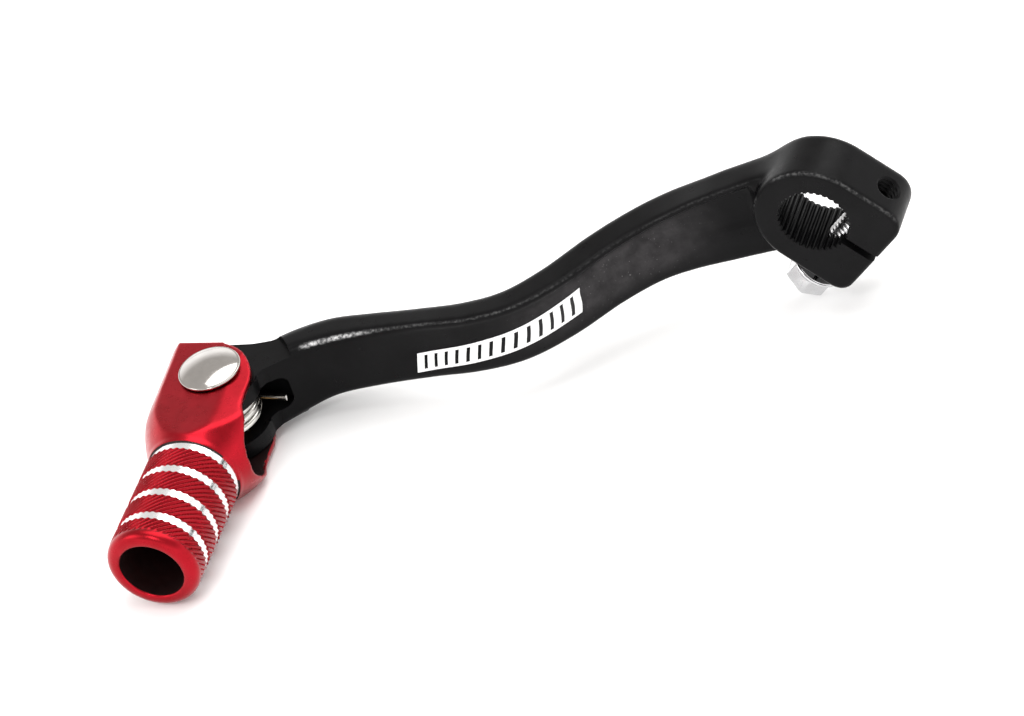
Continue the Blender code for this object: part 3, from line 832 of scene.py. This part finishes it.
def peg_radius(v, angle):
    """Outer radius of the peg: slanted ribs, smooth bands in the grooves, a smooth lip."""
    for ring in range(RING_COUNT):
        low = PEG_START + ring * RING_PITCH
        if low - 0.001 <= v <= low + RING_WIDTH + 0.001:
            return RING_RADIUS
    if v > PEG_END - PEG_LIP:
        depth = (v - (PEG_END - PEG_LIP)) / PEG_LIP
        return PEG_RADIUS - LIP_STEP - PEG_LIP * (1.0 - math.sqrt(max(0.0, 1.0 - depth * depth)))
    phase = RIBS * (angle - v / (RIB_SLANT * PEG_RADIUS))
    wave = abs(math.cos(0.5 * phase))
    shoulder = smoothstep(0.0, 0.9, PEG_END - PEG_LIP - v)
    return PEG_RADIUS - RIB_DEPTH * (1.0 - wave) * shoulder - LIP_STEP * (1.0 - shoulder)


def peg_heights():
    """Where the peg's rings of points lie: sparse in the grooves, close along the ribs and round the lip."""
    heights = []
    for ring in range(RING_COUNT):
        low = PEG_START + ring * RING_PITCH
        high = low + RING_WIDTH
        top = low + RING_PITCH if ring < RING_COUNT - 1 else PEG_END - PEG_LIP
        heights += [low, low + 0.6, high - 0.6, high]
        steps = int((top - high) / 0.22)
        heights += [high + 0.04] + [high + (top - high) * i / steps for i in range(1, steps)] + [top - 0.04]
    heights += [PEG_END - PEG_LIP + PEG_LIP * math.sin(math.radians(90 * i / 10)) for i in range(11)]
    return heights


def peg_ring(radius, height, sides):
    angles = [2 * math.pi * k / sides for k in range(sides)]
    return [(radius * math.sin(angle), height, radius * math.cos(angle)) for angle in angles]


def peg_body():
    """The peg starts inside the head, so that the two overlap before they are joined."""
    sides = RIBS * 8
    rings = [peg_ring(RING_RADIUS, PEG_START - 1.5, sides)]
    for v in peg_heights():
        ring = []
        for k in range(sides):
            angle = 2 * math.pi * k / sides
            radius = peg_radius(v, angle)
            ring.append((radius * math.sin(angle), v, radius * math.cos(angle)))
        rings.append(ring)
    bottom = PEG_END - PEG_BORE_DEPTH
    bore = arc((PEG_BORE_RADIUS + PEG_MOUTH, PEG_END - PEG_MOUTH), PEG_MOUTH, 90, 180, 5)
    bore += [(PEG_BORE_RADIUS, bottom), (0.05, bottom - PEG_BORE_CONE)]
    rings += [peg_ring(radius, v, sides) for radius, v in bore]
    return rings_object("peg", rings, PIN)


def folding_tip():
    tip = combine(head_body(), [peg_body()], "UNION")
    low, high = -FLAT_HALF_HEIGHT - 0.2, -SLOT_HALF_HEIGHT + 0.5
    sink = turned("countersink", [(0.0, high), (PLATE_HOLE, high), (5.1, low), (0.0, low)], PIN)
    combine(tip, [cylinder("pin_hole", PLATE_HOLE, -20.0, 20.0, PIN), sink], "DIFFERENCE")
    dress(tip, red_anodised("red_anodised", 1.0), bare_aluminium(), painted_shade_red(),
          red_anodised("ribbed_red", 0.85))
    plain, bare, painted_shade, ribbed = range(4)
    for polygon in tip.data.polygons:
        centre = polygon.center / MM - PIN_AT
        radius = math.hypot(centre.x, centre.z)
        past_end = max(centre.y - SLOT_CENTRE, 0.0)
        # painted shade: the slot's inner faces get the near-black red
        in_slot = centre.x < SLOT_WALL + 0.1 and math.hypot(past_end, centre.z) < SLOT_HALF_HEIGHT + 0.06
        polygon.material_index = painted_shade if in_slot else plain
        if radius > PEG_SKIN and PEG_START < centre.y < PEG_END - PEG_LIP:
            polygon.material_index = ribbed
        for ring in range(RING_COUNT):
            start = PEG_START + ring * RING_PITCH
            if radius > PEG_SKIN and start < centre.y < start + RING_WIDTH:
                polygon.material_index = bare
        # painted shade: the peg's bore gets the near-black red
        if radius < PEG_BORE_RADIUS + 0.02 and centre.y > PEG_END - PEG_BORE_DEPTH - PEG_BORE_CONE - 0.2:
            polygon.material_index = painted_shade
    shade(tip, 40)
    return tip


# ---------------------------------------------------------------- pin, spring, bolt and washer


def pivot_pin():
    base = FLAT_HALF_HEIGHT + GAP
    rise = DOME_HEIGHT - DOME_RIM
    sphere = (DOME_RADIUS ** 2 + rise ** 2) / (2 * rise)
    reach = math.degrees(math.asin(DOME_RADIUS / sphere))
    centre = base + DOME_HEIGHT - sphere
    angles = [math.radians(reach * i / 24) for i in range(24)]
    crown = [(sphere * math.sin(a), centre + sphere * math.cos(a)) for a in angles]
    edge = arc((DOME_RADIUS - 0.25, base + DOME_RIM - 0.1), 0.25, 70, 0, 5)
    edge += arc((DOME_RADIUS - 0.2, base + 0.2), 0.2, 0, -90, 4)
    low = -SLOT_HALF_HEIGHT + 0.2
    hole = low + 9.0
    tail = [(PIN_RADIUS, base), (PIN_RADIUS, low), (1.8, low), (1.8, hole), (0.0, hole)]
    pin = turned("pivot_pin_dome", crown + edge + tail, PIN, 128)
    shade(pin, 40)
    dress(pin, steel("polished_stainless", (0.46, 0.437, 0.415), 0.07, 0.14, 1.6, 0.004))
    return pin


def return_spring():
    low = -0.5 * SPRING_TURNS * SPRING_PITCH
    path = [(-LEG_REACH, -5.5, 0.8 * low), (-9.0, -5.68, 0.85 * low), (-7.2, -5.9, 0.9 * low),
            (-5.5, -6.1, 0.95 * low), (-3.5, -6.34, 0.98 * low), (-1.6, -SPRING_COIL - 0.02, low)]
    per_turn = 40
    steps = int(SPRING_TURNS * per_turn)
    for i in range(steps + 1):
        angle = math.radians(270) + 2 * math.pi * i / per_turn
        path.append((SPRING_COIL * math.cos(angle), SPRING_COIL * math.sin(angle),
                     low + SPRING_PITCH * SPRING_TURNS * i / steps))
    rings = []
    sides = 20
    points = [Vector(p) for p in path]
    cut = ((0.0, 0.62), (0.12, SPRING_WIRE))        # bevel on each cut end
    ends = {0: cut, len(points) - 1: [(-shift, radius) for shift, radius in reversed(cut)]}
    for i, point in enumerate(points):
        along = (points[min(i + 1, len(points) - 1)] - points[max(i - 1, 0)]).normalized()
        side = along.cross(Vector((0, 0, 1))).normalized()
        up = side.cross(along)
        for shift, radius in ends.get(i, ((0.0, SPRING_WIRE),)):
            centre = point + along * shift
            rings.append([centre + (side * math.cos(2 * math.pi * k / sides)
                                    + up * math.sin(2 * math.pi * k / sides)) * radius for k in range(sides)])
    spring = rings_object("return_spring_wire", rings, PIN)
    shade(spring, 50)
    dress(spring, steel("spring_wire", (0.62, 0.60, 0.57), 0.12, 0.26, 0.5, 0.006))
    return spring


def pinch_bolt():
    seat = EYE_RADIUS + GAP
    flange = seat + WASHER_THICK + GAP
    hex_start, hex_end = flange + FLANGE_THICK, flange + FLANGE_THICK + HEX_HEIGHT
    corner = HEX_ACROSS_FLATS / math.sqrt(3)
    bolt = thread("pinch_bolt_body", BOLT_CORE, BOLT_RADIUS, BOLT_PITCH, BOLT_TIP, flange + 0.2, BOLT)
    profile = [(0.0, hex_start + 0.35), (corner - 0.3, hex_start + 0.35)]
    profile.append((FLANGE_RADIUS - 0.5, hex_start - 0.4))
    profile += arc((FLANGE_RADIUS - 0.3, flange + 0.4), 0.3, 60, -90, 6)
    profile += [(FLANGE_RADIUS - 0.4, flange), (0.0, flange)]
    collar = turned("flange", profile, BOLT, 96)
    head = prism("hex_head", arc((0, 0), corner, 0, 300, 5), hex_start - 0.3, hex_end, BOLT)
    bevel = head.modifiers.new("Bevel", "BEVEL")
    bevel.width = 0.25 * MM
    bevel.segments = 3
    apply_modifiers(head)
    crown = turned("crown", [(0.0, hex_end + 1.0), (3.1, hex_end + 0.55), (corner + 0.8, hex_end - 0.75),
                             (corner + 0.8, hex_start - 2.0), (0.0, hex_start - 2.0)], BOLT, 96)
    combine(head, [crown], "INTERSECT")
    combine(bolt, [collar, head], "UNION")
    hollow = [(0.0, hex_end + 1.0), (2.6, hex_end + 1.0), (2.2, hex_end - 0.35), (0.0, hex_end - 0.5)]
    combine(bolt, [turned("dish", hollow, BOLT)], "DIFFERENCE")
    dress(bolt, steel("zinc_plate", (0.66, 0.66, 0.67), 0.14, 0.30, 0.8, 0.008))
    shade(bolt, 30)
    return bolt


def lock_washer():
    seat = EYE_RADIUS + GAP
    inner, outer, top = BOLT_RADIUS + GAP, WASHER_RADIUS, seat + WASHER_THICK
    soft = 0.18
    profile = []
    for (r, h), start in (((outer - soft, top - soft), 90), ((outer - soft, seat + soft), 0),
                          ((inner + soft, seat + soft), -90), ((inner + soft, top - soft), -180)):
        profile += arc((r, h), soft, start, start - 90, 4)
    washer = turned_loop("lock_washer_ring", profile, BOLT)
    split = [(0, -0.4), (WASHER_RADIUS + 1, -0.4), (WASHER_RADIUS + 1, 0.4), (0, 0.4)]
    combine(washer, [prism("split", split, seat - 1.0, top + 1.0, BOLT)], "DIFFERENCE")
    dress(washer, steel("black_oxide", (0.035, 0.035, 0.036), 0.25, 0.45, 0.5, 0.01))
    shade(washer, 35)
    return washer


# ---------------------------------------------------------------- floor, lights and camera


def build_stage():
    floor_z = CAD_BOX[0][2]
    size = 6.0
    floor = mesh_object("floor", [(-size, -size, floor_z), (size, -size, floor_z), (size, size, floor_z),
                                  (-size, size, floor_z)], [(0, 1, 2, 3)])
    floor.data.materials.append(floor_paper())


def area_light(name, place, target, size, power):
    light = bpy.data.lights.new(name, "AREA")
    light.shape = "RECTANGLE"
    light.size, light.size_y = size
    light.energy = power
    obj = bpy.data.objects.new(name, light)
    obj.location = place
    obj.rotation_euler = (Vector(target) - Vector(place)).to_track_quat("-Z", "Y").to_euler()
    bpy.context.scene.collection.objects.link(obj)


def build_light():
    """A large soft box overhead in a room that is bright low down and grey above."""
    world = bpy.data.worlds.new("studio")
    bpy.context.scene.world = world
    world.use_nodes = True
    tree = world.node_tree
    place = tree.nodes.new("ShaderNodeTexCoord")
    split = tree.nodes.new("ShaderNodeSeparateXYZ")
    ramp = tree.nodes.new("ShaderNodeValToRGB")
    tree.links.new(place.outputs["Generated"], split.inputs["Vector"])
    tree.links.new(split.outputs["Z"], ramp.inputs["Fac"])
    tree.links.new(ramp.outputs["Color"], tree.nodes["Background"].inputs["Color"])
    elements = ramp.color_ramp.elements
    elements[0].position, elements[0].color = 0.20, (1.0, 1.0, 1.0, 1.0)
    elements[1].position, elements[1].color = 0.50, (0.42, 0.41, 0.40, 1.0)
    tree.nodes["Background"].inputs["Strength"].default_value = 1.95
    centre = (0.05, 0.03, -0.01)
    area_light("overhead", (-0.30, -0.55, 1.5), centre, (1.3, 2.0), 24.0)
    area_light("side", (1.3, 0.9, 1.1), centre, (0.8, 0.8), 7.0)
    area_light("front", (0.05, 1.05, 1.20), centre, (0.40, 0.40), 5.0)
    bpy.context.scene.view_settings.view_transform = "Standard"


def build_camera():
    data = bpy.data.cameras.new("camera")
    data.sensor_width = 36.0
    data.lens = 223.2
    data.clip_start = 0.05
    camera = bpy.data.objects.new("camera", data)
    right = Vector((-0.92565, -0.27344, -0.26154))
    up = Vector((-0.01222, -0.66925, 0.74294))
    back = right.cross(up)
    turn = Matrix((right, up, back)).transposed().to_4x4()
    camera.matrix_world = Matrix.Translation((-0.3984, 0.8622, 0.7308)) @ turn
    bpy.context.scene.collection.objects.link(camera)
    bpy.context.scene.camera = camera


def main():
    arm = lever_arm()
    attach(arm, "arm")
    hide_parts("lever_arm")
    band = etched_band(arm)
    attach(band, "arm")
    for make, body, node in ((folding_tip, "tip", "folding_tip"), (pivot_pin, "tip", "pivot_pin"),
                             (return_spring, "arm", "return_spring"), (pinch_bolt, "arm", "pinch_bolt"),
                             (lock_washer, "arm", "lock_washer")):
        piece = make()
        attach(piece, body)
        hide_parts(node)
    nodes = frame["nodes"]
    dress(nodes["pivot_bush"], steel("bearing_bronze", (0.50, 0.30, 0.12), 0.25, 0.4, 0.6, 0.01))
    dress(nodes["pivot_screw"], steel("plain_stainless", (0.66, 0.65, 0.63), 0.2, 0.34, 0.7, 0.008))
    build_stage()
    build_light()
    build_camera()


main()
